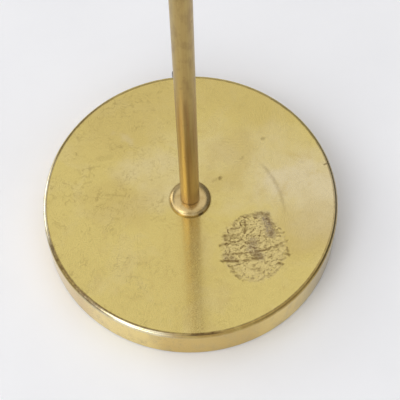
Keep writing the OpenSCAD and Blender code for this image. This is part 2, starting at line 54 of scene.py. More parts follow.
# Camera: close, from above and in front of the base. Lens and sensor are in millimetres, lengths in metres
CAMERA_PLACE = Vector((0.0083, -0.4911, 0.9776))
CAMERA_PITCH = math.radians(62.53)
CAMERA_ROLL = math.radians(-1.89)
CAMERA_LENS = 112.9
CAMERA_SENSOR = 36
CAMERA_NEAR = 0.01
CAMERA_FAR = 1000


def make_camera():
    data = bpy.data.cameras.new("camera")
    data.lens = CAMERA_LENS
    data.sensor_width = CAMERA_SENSOR
    data.clip_start = CAMERA_NEAR
    data.clip_end = CAMERA_FAR
    camera = bpy.data.objects.new("camera", data)
    ahead = Vector((0, math.cos(CAMERA_PITCH), -math.sin(CAMERA_PITCH)))
    level = Vector((1, 0, 0))
    over = level.cross(ahead)
    right = level * math.cos(CAMERA_ROLL) + over * math.sin(CAMERA_ROLL)
    up = over * math.cos(CAMERA_ROLL) - level * math.sin(CAMERA_ROLL)
    turn = Matrix((right, up, -ahead)).transposed()
    camera.matrix_world = Matrix.Translation(CAMERA_PLACE) @ turn.to_4x4()
    scene.collection.objects.link(camera)
    scene.camera = camera


make_camera()
scene.view_settings.view_transform = "Standard"


# Shader nodes: the sockets of a colour mix, and the range and middle of most noise
MIX_SHARE, MIX_FIRST, MIX_SECOND = 0, 6, 7
MIX_COLOUR = 2
NOISE_LOW, NOISE_MIDDLE, NOISE_HIGH = 0.3, 0.5, 0.7
# The share of a half-angle within which a stretch has its full strength
ANGLE_CORE = 0.4


class Nodes:
    """Adds nodes to one tree. A value that is fed to a socket is a number, a colour or another socket."""

    def __init__(self, tree):
        self.tree = tree

    def feed(self, socket, value):
        if isinstance(value, bpy.types.NodeSocket):
            self.tree.links.new(value, socket)
        else:
            socket.default_value = value

    def add(self, kind, inputs=None, **settings):
        made = self.tree.nodes.new("ShaderNode" + kind)
        for key, value in settings.items():
            setattr(made, key, value)
        for key, value in (inputs or {}).items():
            self.feed(made.inputs[key], value)
        return made

    def calc(self, operation, a, b=0.0):
        return self.add("Math", {0: a, 1: b}, operation=operation).outputs[0]

    def plus(self, a, b):
        return self.calc("ADD", a, b)

    def times(self, value, *others):
        for other in others:
            value = self.calc("MULTIPLY", value, other)
        return value

    def most(self, value, *others):
        """The largest of several values."""
        for other in others:
            value = self.calc("MAXIMUM", value, other)
        return value

    def rest(self, share):
        """What a share leaves of 1."""
        return self.calc("SUBTRACT", 1.0, share)

    def apart(self, a, b):
        """How far two values are from each other."""
        return self.calc("ABSOLUTE", self.calc("SUBTRACT", a, b))

    def vector(self, operation, a, b=(0, 0, 0)):
        return self.add("VectorMath", {0: a, 1: b}, operation=operation).outputs[0]

    def scaled(self, a, scale):
        return self.add("VectorMath", {0: a, "Scale": scale}, operation="SCALE").outputs[0]

    def measure(self, operation, a, b=(0, 0, 0)):
        """A vector operation whose result is a number."""
        return self.add("VectorMath", {0: a, 1: b}, operation=operation).outputs["Value"]

    def dot(self, a, b):
        return self.measure("DOT_PRODUCT", a, b)

    def length(self, a):
        return self.measure("LENGTH", a)

    def level(self, value, low, high, at_low=0.0, at_high=1.0):
        """Smooth step of a value from low to high. A clamp would add nothing but load on the shader."""
        inputs = {"Value": value, "From Min": low, "From Max": high, "To Min": at_low, "To Max": at_high}
        return self.add("MapRange", inputs, interpolation_type="SMOOTHSTEP", clamp=False).outputs[0]

    def spread(self, noise, low, high):
        """A noise brought to the range from low to high."""
        return self.level(noise, NOISE_LOW, NOISE_HIGH, low, high)

    def mix(self, share, a, b):
        inputs = {MIX_SHARE: share, MIX_FIRST: a, MIX_SECOND: b}
        return self.add("Mix", inputs, data_type="RGBA").outputs[MIX_COLOUR]

    def noise(self, place, scale, detail=3, roughness=0.6, distortion=0.0):
        """Cloudy noise from 0 to 1. The larger the scale, the finer it is."""
        inputs = {"Vector": place, "Scale": scale, "Detail": detail, "Roughness": roughness,
                  "Distortion": distortion}
        return self.add("TexNoise", inputs).outputs[0]

    def veins(self, noise, full, end):
        """Thin lines where a noise passes its middle: how far from it they are full, and where they end."""
        return self.level(self.apart(noise, NOISE_MIDDLE), full, end, 1.0, 0.0)

    def bump(self, height, distance, strength=1.0):
        inputs = {"Height": height, "Distance": distance, "Strength": strength}
        return self.add("Bump", inputs).outputs[0]

    def around(self, flat, azimuth, half_angle):
        """How near a point is to an azimuth: 1 at it, and 0 past the half-angle, both in degrees."""
        a, h = math.radians(azimuth), math.radians(half_angle)
        way = self.vector("NORMALIZE", flat)
        facing = self.dot(way, (math.cos(a), math.sin(a), 0))
        return self.level(facing, math.cos(h), math.cos(h * ANGLE_CORE))


class Finish(Nodes):
    """A material: its shader, its place on the piece in millimetres, and constant values on the shader."""

    def __init__(self, name, **constants):
        self.material = bpy.data.materials.new(name)
        self.material.use_nodes = True
        super().__init__(self.material.node_tree)
        self.shader = self.tree.nodes["Principled BSDF"]
        for key, value in constants.items():
            self.shader.inputs[key.replace("_", " ")].default_value = value
        metres = self.add("TexCoord").outputs["Object"]
        self.place = self.scaled(metres, 1 / MM)

    def stretched(self, scale):
        return self.vector("MULTIPLY", self.place, scale)

    def flat(self):
        """The place without its height."""
        return self.stretched((1, 1, 0))

    def height(self):
        return self.dot(self.place, (0, 0, 1))

    def done(self, colour, roughness, normal=None):
        self.feed(self.shader.inputs["Base Color"], colour)
        self.feed(self.shader.inputs["Roughness"], roughness)
        if normal:
            self.feed(self.shader.inputs["Normal"], normal)
        return self.material


def rgb(red, green, blue):
    """A screen colour, 0 to 255, as a shader colour."""
    def linear(part):
        part = part / 255
        return part / 12.92 if part <= 0.04045 else ((part + 0.055) / 1.055) ** 2.4
    return (linear(red), linear(green), linear(blue), 1.0)


# Brass: its colours, and the lacquer over the polished pieces
BRASS = rgb(187, 159, 102)
BRASS_DEEP = rgb(172, 143, 90)
BRASS_BROWN = rgb(128, 94, 50)
TUBE_OLIVE = rgb(190, 166, 107)
TUBE_TAN = rgb(177, 142, 92)
STEM_HIGH = rgb(181, 157, 90)
STEM_FOOT_PAINTED_LIGHT = rgb(219, 189, 128)
STEM_PAINTED_HIGHLIGHT = rgb(246, 214, 146)
CORNER_SHADE = rgb(80, 58, 30)
COLLAR_PALE = rgb(200, 175, 121)
COLLAR_DEEP = rgb(182, 154, 97)
PLATE_YELLOW = rgb(206, 186, 113)
PLATE_PALE = rgb(212, 196, 154)
PLATE_STAIN = rgb(190, 166, 100)
PATCH_CREAM = rgb(215, 195, 138)
WALL_BRASS = rgb(212, 178, 76)
MARK_BROWN = rgb(106, 77, 26)
MARK_GREY = rgb(132, 114, 106)
EDGE_TARNISH_AND_REFLECTION = rgb(88, 60, 26)
EDGE_PAINTED_HIGHLIGHT = rgb(244, 236, 212)
EDGE_REFLECTION_TAN = rgb(158, 118, 50)
WALL_PAINTED_LIGHT = rgb(250, 227, 140)
WALL_PAINTED_SHADE = rgb(180, 150, 50)
WALL_WARM_PAINTED_LIGHT = rgb(246, 216, 106)
LACQUERED = {"Metallic": 1.0, "Coat_Weight": 0.4, "Coat_Roughness": 0.3}
# Flecks of tarnish: the noise at which they are full, and the roughness that they add, less on tubes
FLECK_FULL = 0.78
FLECK_ROUGH = 0.25
TUBE_FLECK_ROUGH = 0.2
# The stem in millimetres: its radius, its foot, where its polish ends, and how far that end fades and wavers
STEM_RADIUS = 8.0
STEM_FOOT = 40.0
STEM_POLISH = 208.0
POLISH_FADE = 6
POLISH_WAVER = 7
# Tones of the stem, a darker tone higher up and painted light that makes the foot lighter: two heights, the
# strength at each of them, and the colour
STEM_TONES = [
    (165, 230, 0.0, 0.75, STEM_HIGH),
    # Painted light: the stem's foot is made lighter
    (50, 150, 0.7, 0.0, STEM_FOOT_PAINTED_LIGHT),
]
# Roughness that the stem adds to a tube's: two heights and the amount at each, and more above the polish
STEM_HAZE = (90, 170, 0.11, 0.09)
DULL_HAZE = 0.06
# Painted reflections on the polished part, a dark streak facing the front and a pale painted highlight on the
# right: azimuth and half-angle in degrees, the heights where each starts to fade and is gone, colour and strength
STEM_PAINTED_REFLECTIONS = [
    # A painted dark reflection facing the front
    (-95, 11, 195, 210, BRASS_BROWN, 0.4),
    # A pale painted highlight on the right
    (-46, 38, 60, 150, STEM_PAINTED_HIGHLIGHT, 0.4),
]
# Painted shade in corners: how far it reaches, in millimetres, and its strength
STEM_CORNER_SHADE = (1.8, 0.25)
COLLAR_CORNER_SHADE = (1.4, 0.2)
PLATE_CORNER_SHADE = (1.5, 0.35)
# The collar's outer edge, and a painted dark reflection, a spot low on the collar's right: azimuth and half-angle
# in degrees, top, fade, strength
COLLAR_EDGE = 17.4
SPOT_AZIMUTH = -60
SPOT_HALF_ANGLE = 10
SPOT_TOP = 38.4
SPOT_FADE = 1.4
SPOT_STRENGTH = 0.8


def flecks(made, scale, detail, start, strength):
    """Flecks of tarnish, where a noise is above a start."""
    return made.level(made.noise(made.place, scale, detail), start, FLECK_FULL, 0.0, strength)


def with_corner_shade(made, colour, away, edge, reach, strength):
    """A colour with painted shade in a corner. It fades from the edge, by how far away a point is."""
    painted_shade = made.level(away, edge, edge + reach, strength, 0.0)
    return made.mix(painted_shade, colour, CORNER_SHADE)


def turned_brass():
    """Turned fittings: cloudy polish and brown flecks of tarnish."""
    made = Finish("turned_brass", **LACQUERED)
    cloud = made.noise(made.place, 0.12, 4)
    fine = made.noise(made.place, 1.5)
    fleck = flecks(made, scale=0.35, detail=3, start=0.62, strength=0.45)
    colour = made.mix(made.level(cloud, 0.38, 0.62), BRASS, BRASS_DEEP)
    colour = made.mix(fleck, colour, BRASS_BROWN)
    rough = made.plus(made.spread(fine, 0.12, 0.24), made.times(fleck, FLECK_ROUGH))
    return made.done(colour, rough, made.bump(fine, 0.006 * MM))


def stem_wear_and_painted_light(made, grain, colour, rough):
    """The stem: tones by height, with painted light at the foot, mottled tarnish above its polish, and painted
    reflections below it.
    """
    height = made.height()
    for *span, tone in STEM_TONES:
        colour = made.mix(made.level(height, *span), colour, tone)
    rough = made.plus(rough, made.level(height, *STEM_HAZE))
    waver = made.spread(made.noise(made.place, 0.15, roughness=0.5), -POLISH_WAVER, POLISH_WAVER)
    wavy = made.plus(height, waver)
    dull = made.level(wavy, STEM_POLISH - POLISH_FADE, STEM_POLISH + POLISH_FADE)
    rough = made.plus(rough, made.times(dull, DULL_HAZE))
    mottle = made.level(made.noise(made.stretched((1, 1, 0.4)), 0.14, 4), 0.46, 0.68, 0.0, 0.35)
    colour = made.mix(made.times(dull, mottle), colour, BRASS_BROWN)
    lines = made.level(made.noise(made.stretched(grain), 0.3, 2), 0.53, 0.61, 0.0, 0.2)
    bright = made.rest(dull)
    # Painted reflections: a dark streak facing the front and a pale painted highlight on the right
    for azimuth, half_angle, low, top, tone, strength in STEM_PAINTED_REFLECTIONS:
        near = made.around(made.flat(), azimuth, half_angle)
        near = made.times(near, made.level(height, low, top, strength, 0.0), bright)
        colour = made.mix(near, colour, tone)
    colour = made.mix(made.times(lines, bright), colour, BRASS_BROWN)
    return colour, rough


def drawn_brass(name, grain, stem=False):
    """A drawn tube with long streaks. The grain says how fast they change along X, Y and Z."""
    made = Finish(name, **LACQUERED)
    streak = made.noise(made.stretched(grain), 0.4)
    fine = made.noise(made.stretched(grain), 1.1, 2)
    fleck = flecks(made, scale=0.16, detail=4, start=0.60, strength=0.5)
    colour = made.mix(made.level(streak, 0.38, 0.60), TUBE_OLIVE, TUBE_TAN)
    rough = made.spread(fine, 0.25, 0.37)
    if stem:
        # On the stem: painted light at the foot and painted reflections on the polished part
        colour, rough = stem_wear_and_painted_light(made, grain, colour, rough)
    colour = made.mix(fleck, colour, BRASS_BROWN)
    if stem:
        # Painted shade where the stem meets the collar
        colour = with_corner_shade(made, colour, made.height(), STEM_FOOT, *STEM_CORNER_SHADE)
    rough = made.plus(rough, made.times(fleck, TUBE_FLECK_ROUGH))
    return made.done(colour, rough, made.bump(fine, 0.008 * MM))


def spun_brass():
    """The shade: fine rings about the head's axis, left by the spinning."""
    made = Finish("spun_brass", **LACQUERED)
    axis = JOINTS["head_tilt"] / MM
    out = made.vector("SUBTRACT", made.place, (axis.x, axis.y, 0))
    radius = made.length(made.vector("MULTIPLY", out, (1, 1, 0)))
    across = made.add("CombineXYZ", {0: radius, 1: made.height()}).outputs[0]
    rings = made.noise(across, 0.9, 4, 0.7)
    cloud = made.noise(made.place, 0.03, 4)
    fleck = flecks(made, scale=0.18, detail=4, start=0.62, strength=0.35)
    colour = made.mix(made.level(cloud, 0.38, 0.62), BRASS, BRASS_DEEP)
    colour = made.mix(made.level(rings, 0.45, 0.7, 0.0, 0.22), colour, BRASS_BROWN)
    colour = made.mix(fleck, colour, BRASS_BROWN)
    rough = made.plus(made.level(rings, 0.35, 0.65, 0.16, 0.28), made.times(fleck, FLECK_ROUGH))
    return made.done(colour, rough, made.bump(rings, 0.012 * MM))


def collar_brass():
    """The collar at the stem's foot: cloudy, with painted shade in the corner and a painted dark reflection low on
    its right.
    """
    made = Finish("collar_brass", Metallic=1.0, Coat_Weight=0.3, Coat_Roughness=0.3)
    cloud = made.level(made.noise(made.place, 0.12, 4), 0.4, 0.68)
    fine = made.noise(made.place, 2.5)
    colour = made.mix(cloud, COLLAR_PALE, COLLAR_DEEP)
    flat = made.flat()
    # Painted shade where the collar meets the stem
    colour = with_corner_shade(made, colour, made.length(flat), STEM_RADIUS, *COLLAR_CORNER_SHADE)
    # A painted dark reflection low on the collar's right
    low = made.level(made.height(), SPOT_TOP - SPOT_FADE, SPOT_TOP, SPOT_STRENGTH, 0.0)
    spot = made.times(made.around(flat, SPOT_AZIMUTH, SPOT_HALF_ANGLE), low)
    colour = made.mix(spot, colour, CORNER_SHADE)
    return made.done(colour, made.level(fine, 0.4, 0.62, 0.18, 0.32), made.bump(fine, 0.004 * MM))


# The worn patch on the base: its centre and half-widths in millimetres, and the turn of its grain
PATCH_CENTRE = (52, -47, 0)
PATCH_HALF = (28, 32)
PATCH_TURN = math.radians(-12)
# Dark strokes of the worn patch, from its centre: start, end, half-width and strength, in millimetres
PATCH_STROKES = [
    ((-28, 3), (-19, 5), 1.6, 0.9),
    ((-19, 5), (-9.5, 7), 1.2, 0.9),
    ((-24, 11.5), (-19.5, 10.5), 2.6, 0.9),
    ((-18, 9), (-12, 12.5), 1.4, 0.7),
    ((-26.5, -6), (-16, -5.5), 1.3, 0.85),
    ((-16, -5.5), (-3.5, -4.5), 1.2, 0.9),
    ((-3.5, -5), (10, -2.5), 1.6, 0.95),
    ((10, -2.5), (19.5, 1.5), 1.2, 0.9),
    ((19.5, 1.5), (27.5, 5), 1.1, 0.8),
    ((15.5, -1.5), (24.5, 1), 1.0, 0.6),
    ((-27.5, -11.5), (-13, -12), 1.6, 1.0),
    ((-13, -12), (-3.5, -11.5), 1.3, 0.9),
    ((-23, -9), (-19, -10.5), 2.0, 0.7),
    ((-3.5, -10.5), (6, -9.5), 2.2, 0.9),
    ((-7, 25.5), (-6, 19.5), 1.4, 1.0),
    ((-6, 19.5), (-7.5, 13), 1.4, 0.9),
    ((-16, 22.5), (-9, 28.5), 1.6, 0.6),
    ((-9, 28.5), (1, 30.5), 2.0, 0.6),
    ((1, 30.5), (8, 31.5), 2.2, 0.7),
    ((8, 31.5), (13.5, 30), 2.0, 0.8),
    ((-18.5, 18), (-10, 19.5), 1.6, 0.7),
    ((-19, 16.5), (-17, 13), 1.2, 0.6),
    ((12, 28), (15.5, 21.5), 1.8, 0.6),
    ((15.5, 21.5), (18.5, 14), 1.7, 0.6),
    ((15.5, 10), (14, 13), 1.8, 0.8),
    ((19.5, 12), (25.5, 13), 1.3, 0.7),
    ((27, -1.5), (28, -7.5), 1.3, 0.8),
    ((25, -6.5), (28.5, -8), 1.5, 0.7),
    ((20.5, -12.5), (25, -10.5), 1.3, 0.6),
    ((19.5, -15), (22.5, -16.5), 1.7, 1.0),
    ((22.5, -16.5), (15.5, -23), 1.0, 0.6),
    ((15.5, -23), (1, -31), 1.0, 0.5),
    ((-21.5, -15.5), (-18, -19), 1.6, 0.8),
    ((-20.5, -21.5), (-16, -22), 1.4, 0.7),
    ((-16, -25.5), (-13, -27.5), 1.4, 0.9),
    ((-11, -30), (-3.5, -29.5), 1.1, 0.5),
    ((-3.5, -20), (1, -20), 1.7, 0.5),
    ((8, -12.5), (9, -15), 1.1, 0.6),
    ((-4.5, 5.5), (5, 4), 2.2, 0.6),
    ((0.5, -6.5), (3, -9.5), 3.0, 0.8),
]
# Grey smudges of the worn patch, given as the strokes are
PATCH_SMUDGES = [
    ((11, 26.5), (14.5, 11.5), 4.6, 1.0),
    ((4, 29.5), (12, 30.5), 4.0, 0.5),
    ((-0.5, 5.5), (-2, -2), 5.0, 0.8),
    ((1.5, -5), (4.5, -9), 4.4, 0.8),
    ((-23.5, -9), (-19, -10), 3.4, 0.5),
]
# Single marks on the base: start, end, half-width and strength, in millimetres
PLATE_MARKS = [
    ((25.6, 19.4), (26.2, 19.6), 1.7, 0.8),
    ((20.5, 17), (23, 18.5), 1.8, 0.22),
    ((64, 56.6), (65, 57), 1.6, 0.5),
    ((45, 38), (46, 38.5), 1.8, 0.35),
    ((115.5, 29.6), (123, 31), 0.9, 0.85),
    ((-97.5, 49), (-96.5, 46), 1.0, 0.4),
    ((-78, 42), (-68, 44), 3.5, 0.15),
    ((-86.5, 33), (-76.5, 35), 0.9, 0.3),
    ((-69, 7), (-55, 5), 0.9, 0.25),
    ((-79.5, 1), (-78, 8), 0.9, 0.25),
    ((-90, 18), (-84, 19.5), 0.9, 0.25),
]
# Pale and deep areas of the base's tarnish, given as the marks are. The last deep area is a painted shadow of the
# stem
PALE_AREAS = [
    ((100, 8), (112, -8), 46, 1.0),
    ((60, 30), (100, 12), 48, 0.5),
    ((-30, 22), (-12, 14), 34, 0.45),
    ((20, 35), (50, 20), 40, 0.25),
    ((-64, 67), (-51, 62), 7, 0.5),
]
DEEP_AREAS = [
    ((-62, 0), (-48, -4), 26, 0.6),
    ((92, -42), (104, -36), 30, 0.8),
    ((-70, 78), (-30, 108), 44, 0.6),
    ((20, 106), (66, 92), 38, 0.5),
    # A painted shadow of the stem on the plate
    ((18, 18), (42, 52), 16, 0.6),
]
# A faint ring mark on the base: its centre, radius and half-width in millimetres, the way to the middle of
# its arc, the cosines from that way where the arc ends and where it is full, and its strength
RING_CENTRE = (12, -13, 0)
RING_RADIUS = 66.5
RING_HALF = 2.7
RING_WAY = math.radians(21)
RING_SPAN = (0.90, 0.98)
RING_STRENGTH = 0.28
# The dark line where the base's flat top meets its rounded edge, in millimetres: its radius, how far it is
# full and where it ends, the heights where the wall turns into the edge, and the fade of the edge's tones
EDGE_RADIUS = 121.9
EDGE_CORE = 0.1
EDGE_HALF = 0.9
EDGE_LOW = 31
EDGE_HIGH = 33
EDGE_FADE = 0.5
# Stretches of the rounded edge with more dark, partly tarnish and partly painted dark reflection: azimuth and
# half-angle in degrees, radius, half-width and strength, and the share of the half-width that is full
STRETCH_CORE = 0.3
EDGE_STRETCHES = [
    (-146, 27, 123.0, 2.4, 1.0),
    (-117, 30, 121.7, 1.1, 0.95),
    (-86, 8, 122.4, 1.7, 1.0),
    (-94, 26, 121.9, 0.8, 0.7),
    (-55, 38, 122.0, 1.0, 0.75),
    (-5, 40, 123.6, 2.4, 0.5),
    (146, 28, 122.6, 1.3, 0.8),
]
# Tones of the rounded edge, pale painted highlights on the left and front-left and tan tones that colour the
# painted dark reflection at the front and right: azimuth and half-angle in degrees, colour and strength
EDGE_TONES = [
    (180, 26, EDGE_PAINTED_HIGHLIGHT, 0.9),
    (-117, 26, EDGE_PAINTED_HIGHLIGHT, 0.7),
    (-90, 14, EDGE_REFLECTION_TAN, 0.5),
    (-56, 36, EDGE_REFLECTION_TAN, 0.6),
]
# Tones of the wall, painted light at the front-left and front-right and painted shade on the right, given as those
# of the edge are
WALL_PAINTED_TONES = [
    (-119, 19, WALL_PAINTED_LIGHT, 0.8),
    (-48, 22, WALL_WARM_PAINTED_LIGHT, 0.8),
    (-10, 38, WALL_PAINTED_SHADE, 0.8),
]
# Strength of each layer of the base's wear
DEEP_STRENGTH = 0.7
WALL_STRENGTH = 0.8
CREAM_STRENGTH = 0.55
MARK_STRENGTH = 0.8
GREY_STRENGTH = 0.75
DARK_STRENGTH = 0.85
EDGE_STRENGTH = 0.9
# Roughness of the base: the least, and what is added by haze on the top, by haze on the edge and by wear
LEAST_ROUGH = 0.09
TOP_HAZE = 0.31
EDGE_HAZE = 0.08
WEAR_ROUGH = 0.25
# Height of the polish's swirls, in depths of a mark
SWIRL_HEIGHT = 0.4
# Where a stroke is full and where it ends, in half-widths
STROKE_CORE = 0.3
STROKE_END = 1.3


def stroke_group():
    """Node group: how near a point is to a straight stroke, from 1 at its line to 0 past its half-width."""
    group = bpy.data.node_groups.new("stroke", "ShaderNodeTree")
    for name, kind in (("Point", "Vector"), ("Start", "Vector"), ("End", "Vector"), ("Half", "Float")):
        group.interface.new_socket(name, in_out="INPUT", socket_type="NodeSocket" + kind)
    group.interface.new_socket("Near", in_out="OUTPUT", socket_type="NodeSocketFloat")
    made = Nodes(group)
    given = group.nodes.new("NodeGroupInput").outputs
    along = made.vector("SUBTRACT", given["End"], given["Start"])
    out = made.vector("SUBTRACT", given["Point"], given["Start"])
    share = made.calc("DIVIDE", made.dot(out, along), made.dot(along, along))
    share = made.calc("MINIMUM", made.most(share, 0.0), 1.0)
    away = made.measure("DISTANCE", out, made.scaled(along, share))
    near = made.level(made.calc("DIVIDE", away, given["Half"]), STROKE_CORE, STROKE_END, 1.0, 0.0)
    made.feed(group.nodes.new("NodeGroupOutput").inputs["Near"], near)
    return group


STROKE = stroke_group()


def strokes(made, point, rows):
    """The strongest of several strokes at each point."""
    total = 0.0
    for start, end, half, strength in rows:
        inputs = {"Point": point, "Start": (*start, 0), "End": (*end, 0), "Half": half}
        near = made.add("Group", inputs, node_tree=STROKE).outputs["Near"]
        total = made.most(total, made.times(near, strength))
    return total


def shaken(made, point, scale, reach):
    """A point moved about by a noise, up to half of the reach each way."""
    noise = made.add("TexNoise", {"Vector": made.place, "Scale": scale, "Detail": 3}).outputs["Color"]
    shake = made.vector("SUBTRACT", noise, (0.5, 0.5, 0.5))
    return made.vector("ADD", point, made.scaled(shake, reach))


def patch_wear(made, point):
    """The worn patch: how dark it is with strokes and flecks, how grey, and how far it reaches."""
    local = made.vector("SUBTRACT", point, PATCH_CENTRE)
    reach = made.length(made.vector("DIVIDE", local, (*PATCH_HALF, 1)))
    inside = made.level(reach, 0.94, 1.05, 1.0, 0.0)
    outline = made.times(made.level(reach, 0.86, 0.97), inside)
    turn = {"Vector": local, "Angle": PATCH_TURN}
    turned = made.add("VectorRotate", turn, rotation_type="Z_AXIS").outputs[0]
    streaked = made.vector("MULTIPLY", turned, (0.55, 1, 1))
    grit = made.noise(streaked, 0.55, 3, 0.7)
    lines = made.veins(made.noise(streaked, 0.4, 2), 0.015, 0.07)
    fleck = made.most(made.level(grit, 0.525, 0.575), made.times(lines, 0.35))
    patchy = made.level(made.noise(local, 0.10, 3, 0.5), 0.36, 0.62, 0.6, 1.0)
    denser = made.level(made.dot(local, (-0.02, 0.02, 0)), -0.7, 0.7, 0.75, 1.15)
    cover = made.most(made.times(inside, patchy, denser), made.times(outline, 0.6))
    broken = made.level(grit, 0.40, 0.54, 0.4, 1.0)
    broken = made.times(strokes(made, local, PATCH_STROKES), broken)
    dark = made.most(made.times(fleck, cover), broken)
    grain = made.level(made.noise(local, 0.8, 3, 0.7), 0.38, 0.60, 0.2, 1.0)
    grey = made.times(strokes(made, local, PATCH_SMUDGES), grain)
    return dark, grey, inside


def ring_mark(made, point):
    """A faint arc on the flat top."""
    place = made.vector("SUBTRACT", point, RING_CENTRE)
    off = made.apart(made.length(place), RING_RADIUS)
    way = (math.cos(RING_WAY) / RING_RADIUS, math.sin(RING_WAY) / RING_RADIUS, 0)
    side = made.level(made.dot(place, way), *RING_SPAN)
    return made.times(made.level(off, 0.0, RING_HALF, RING_STRENGTH, 0.0), side)


def edge_line(made, flat):
    """The dark line around the flat top: partly tarnish, partly a painted dark reflection."""
    off = made.apart(made.length(flat), EDGE_RADIUS)
    line = made.level(off, EDGE_CORE, EDGE_HALF, 1.0, 0.0)
    above = made.level(made.height(), EDGE_LOW, EDGE_HIGH)
    worn = made.level(made.noise(made.place, 0.06, 4), 0.32, 0.62, 0.35, 0.75)
    line = made.times(line, worn)
    for azimuth, half_angle, radius, half, strength in EDGE_STRETCHES:
        near = made.around(flat, azimuth, half_angle)
        off = made.apart(made.length(flat), radius)
        dark = made.times(near, made.level(off, half * STRETCH_CORE, half, strength, 0.0))
        line = made.most(line, dark)
    broken = made.level(made.noise(made.place, 0.35, 3, 0.7), 0.42, 0.58, 0.75, 1.0)
    return made.times(line, above, broken)


def tarnish(made, loose):
    """The base's colour: paler and deeper areas, clouds and stains, with one deeper area that is a painted shadow
    of the stem.
    """
    cloud = made.level(made.noise(made.place, 0.028, 5, distortion=0.5), 0.35, 0.7, -0.12, 0.18)
    pale = made.plus(strokes(made, loose, PALE_AREAS), cloud)
    pale.node.use_clamp = True
    stain_and_shadow = made.level(made.noise(made.place, 0.06, 5, 0.65, 0.6), 0.50, 0.76, 0.0, 0.5)
    # The deep areas hold stains and a painted shadow of the stem
    stain_and_shadow = made.most(stain_and_shadow, made.times(strokes(made, loose, DEEP_AREAS), DEEP_STRENGTH))
    return made.mix(stain_and_shadow, made.mix(pale, PLATE_YELLOW, PLATE_PALE), PLATE_STAIN)


def wall_colour(made, flat):
    """The wall under the rounded edge: painted light and shade by azimuth, and streaks of tarnish."""
    colour = WALL_BRASS
    # Painted light and shade on the wall by azimuth
    for azimuth, half_angle, tone, strength in WALL_PAINTED_TONES:
        near = made.around(flat, azimuth, half_angle)
        colour = made.mix(made.times(near, strength), colour, tone)
    streak = made.level(made.noise(made.stretched((1, 1, 0.4)), 0.12, 4), 0.46, 0.72, 0.0, 0.5)
    return made.mix(streak, colour, PLATE_STAIN)


def edge_toned(made, flat, wall, colour):
    """A colour with the painted highlights and painted reflection tones of the rounded edge, which is above the
    wall.
    """
    lip = made.level(made.length(flat), EDGE_RADIUS, EDGE_RADIUS + EDGE_FADE)
    lip = made.times(lip, made.rest(wall))
    lip = made.times(lip, made.level(made.noise(made.place, 0.09, 4), 0.32, 0.58, 0.5, 1.0))
    # Painted highlights and painted reflection tones on the rounded edge
    for azimuth, half_angle, tone, strength in EDGE_TONES:
        near = made.times(made.around(flat, azimuth, half_angle), strength)
        colour = made.mix(made.times(lip, near), colour, tone)
    return colour


def scratches(made, flat):
    """Fine curved scratches here and there, stronger on the left."""
    hair = made.noise(made.place, 0.13, 2, 0.5, 1.5)
    scratch = made.veins(hair, 0.008, 0.035)
    where = made.level(made.noise(made.place, 0.07, 3, 0.5), 0.40, 0.62)
    left = made.level(made.dot(flat, (1, 0, 0)), -70, 60, 0.27, 0.10)
    return made.times(scratch, where, left)


def worn_brass():
    """The base: aged brass with cloudy tarnish, fine scratches, a worn patch and a few marks, with a painted
    shadow of the stem, painted shade around the collar, and painted light, shade, highlights and reflections on
    its wall and rounded edge.
    """
    made = Finish("worn_brass", Metallic=1.0, Coat_Weight=0.3, Coat_Roughness=0.35)
    flat = made.flat()
    loose = shaken(made, flat, scale=0.03, reach=60)
    point = shaken(made, flat, scale=0.4, reach=4)

    # Tarnish with a painted shadow of the stem, painted shade around the collar, and the wall and the rounded edge
    # with their painted light, shade and highlights
    colour = tarnish(made, loose)
    # Painted shadow on the plate around the collar's foot
    colour = with_corner_shade(made, colour, made.length(flat), COLLAR_EDGE, *PLATE_CORNER_SHADE)
    wall = made.level(made.height(), EDGE_LOW, EDGE_HIGH, 1.0, 0.0)
    side = wall_colour(made, flat)
    colour = made.mix(made.times(wall, WALL_STRENGTH), colour, side)
    colour = edge_toned(made, flat, wall, colour)

    # Scratches, marks, the worn patch, and the dark edge, which is partly tarnish and partly painted reflection
    swirl = made.noise(made.place, 0.07, 6, 0.75, 2.2)
    scratch = scratches(made, flat)
    colour = made.mix(scratch, colour, MARK_BROWN)
    dark, grey, worn = patch_wear(made, point)
    colour = made.mix(made.times(worn, CREAM_STRENGTH), colour, PATCH_CREAM)
    single = made.times(strokes(made, point, PLATE_MARKS), MARK_STRENGTH)
    dark = made.most(dark, single)
    dark = made.most(dark, ring_mark(made, point))
    dark = made.times(dark, made.rest(wall))
    edge = edge_line(made, flat)
    colour = made.mix(made.times(grey, GREY_STRENGTH), colour, MARK_GREY)
    colour = made.mix(made.times(dark, DARK_STRENGTH), colour, MARK_BROWN)
    # The dark edge: partly tarnish, partly painted dark reflection
    colour = made.mix(made.times(edge, EDGE_STRENGTH), colour, EDGE_TARNISH_AND_REFLECTION)

    # Gloss: a fine mixture of bright and hazy grains, duller where it is worn
    haze = made.level(made.noise(made.place, 3.5, 2), 0.42, 0.62)
    top = made.level(made.length(flat), EDGE_RADIUS - EDGE_HALF, EDGE_RADIUS, TOP_HAZE, EDGE_HAZE)
    spent = made.most(dark, grey, scratch)
    rough = made.plus(made.times(haze, top), made.times(spent, WEAR_ROUGH))
    rough = made.plus(rough, LEAST_ROUGH)
    height = made.calc("SUBTRACT", made.times(swirl, SWIRL_HEIGHT), dark)
    return made.done(colour, rough, made.bump(height, 0.012 * MM, 0.5))


# Other finishes
def grained(name, grain, tones, between, rough, depth, strength, squeeze=(1, 1, 1), **constants):
    """A finish made of one noise, which mixes two tones, spreads the roughness and raises the surface.

    The grain gives the noise's settings, the tones change between two of its values, and the depth of the
    bump is in millimetres.
    """
    made = Finish(name, **constants)
    noise = made.noise(made.stretched(squeeze), *grain)
    colour = made.mix(made.level(noise, *between), *tones)
    return made.done(colour, made.spread(noise, *rough), made.bump(noise, depth * MM, strength))


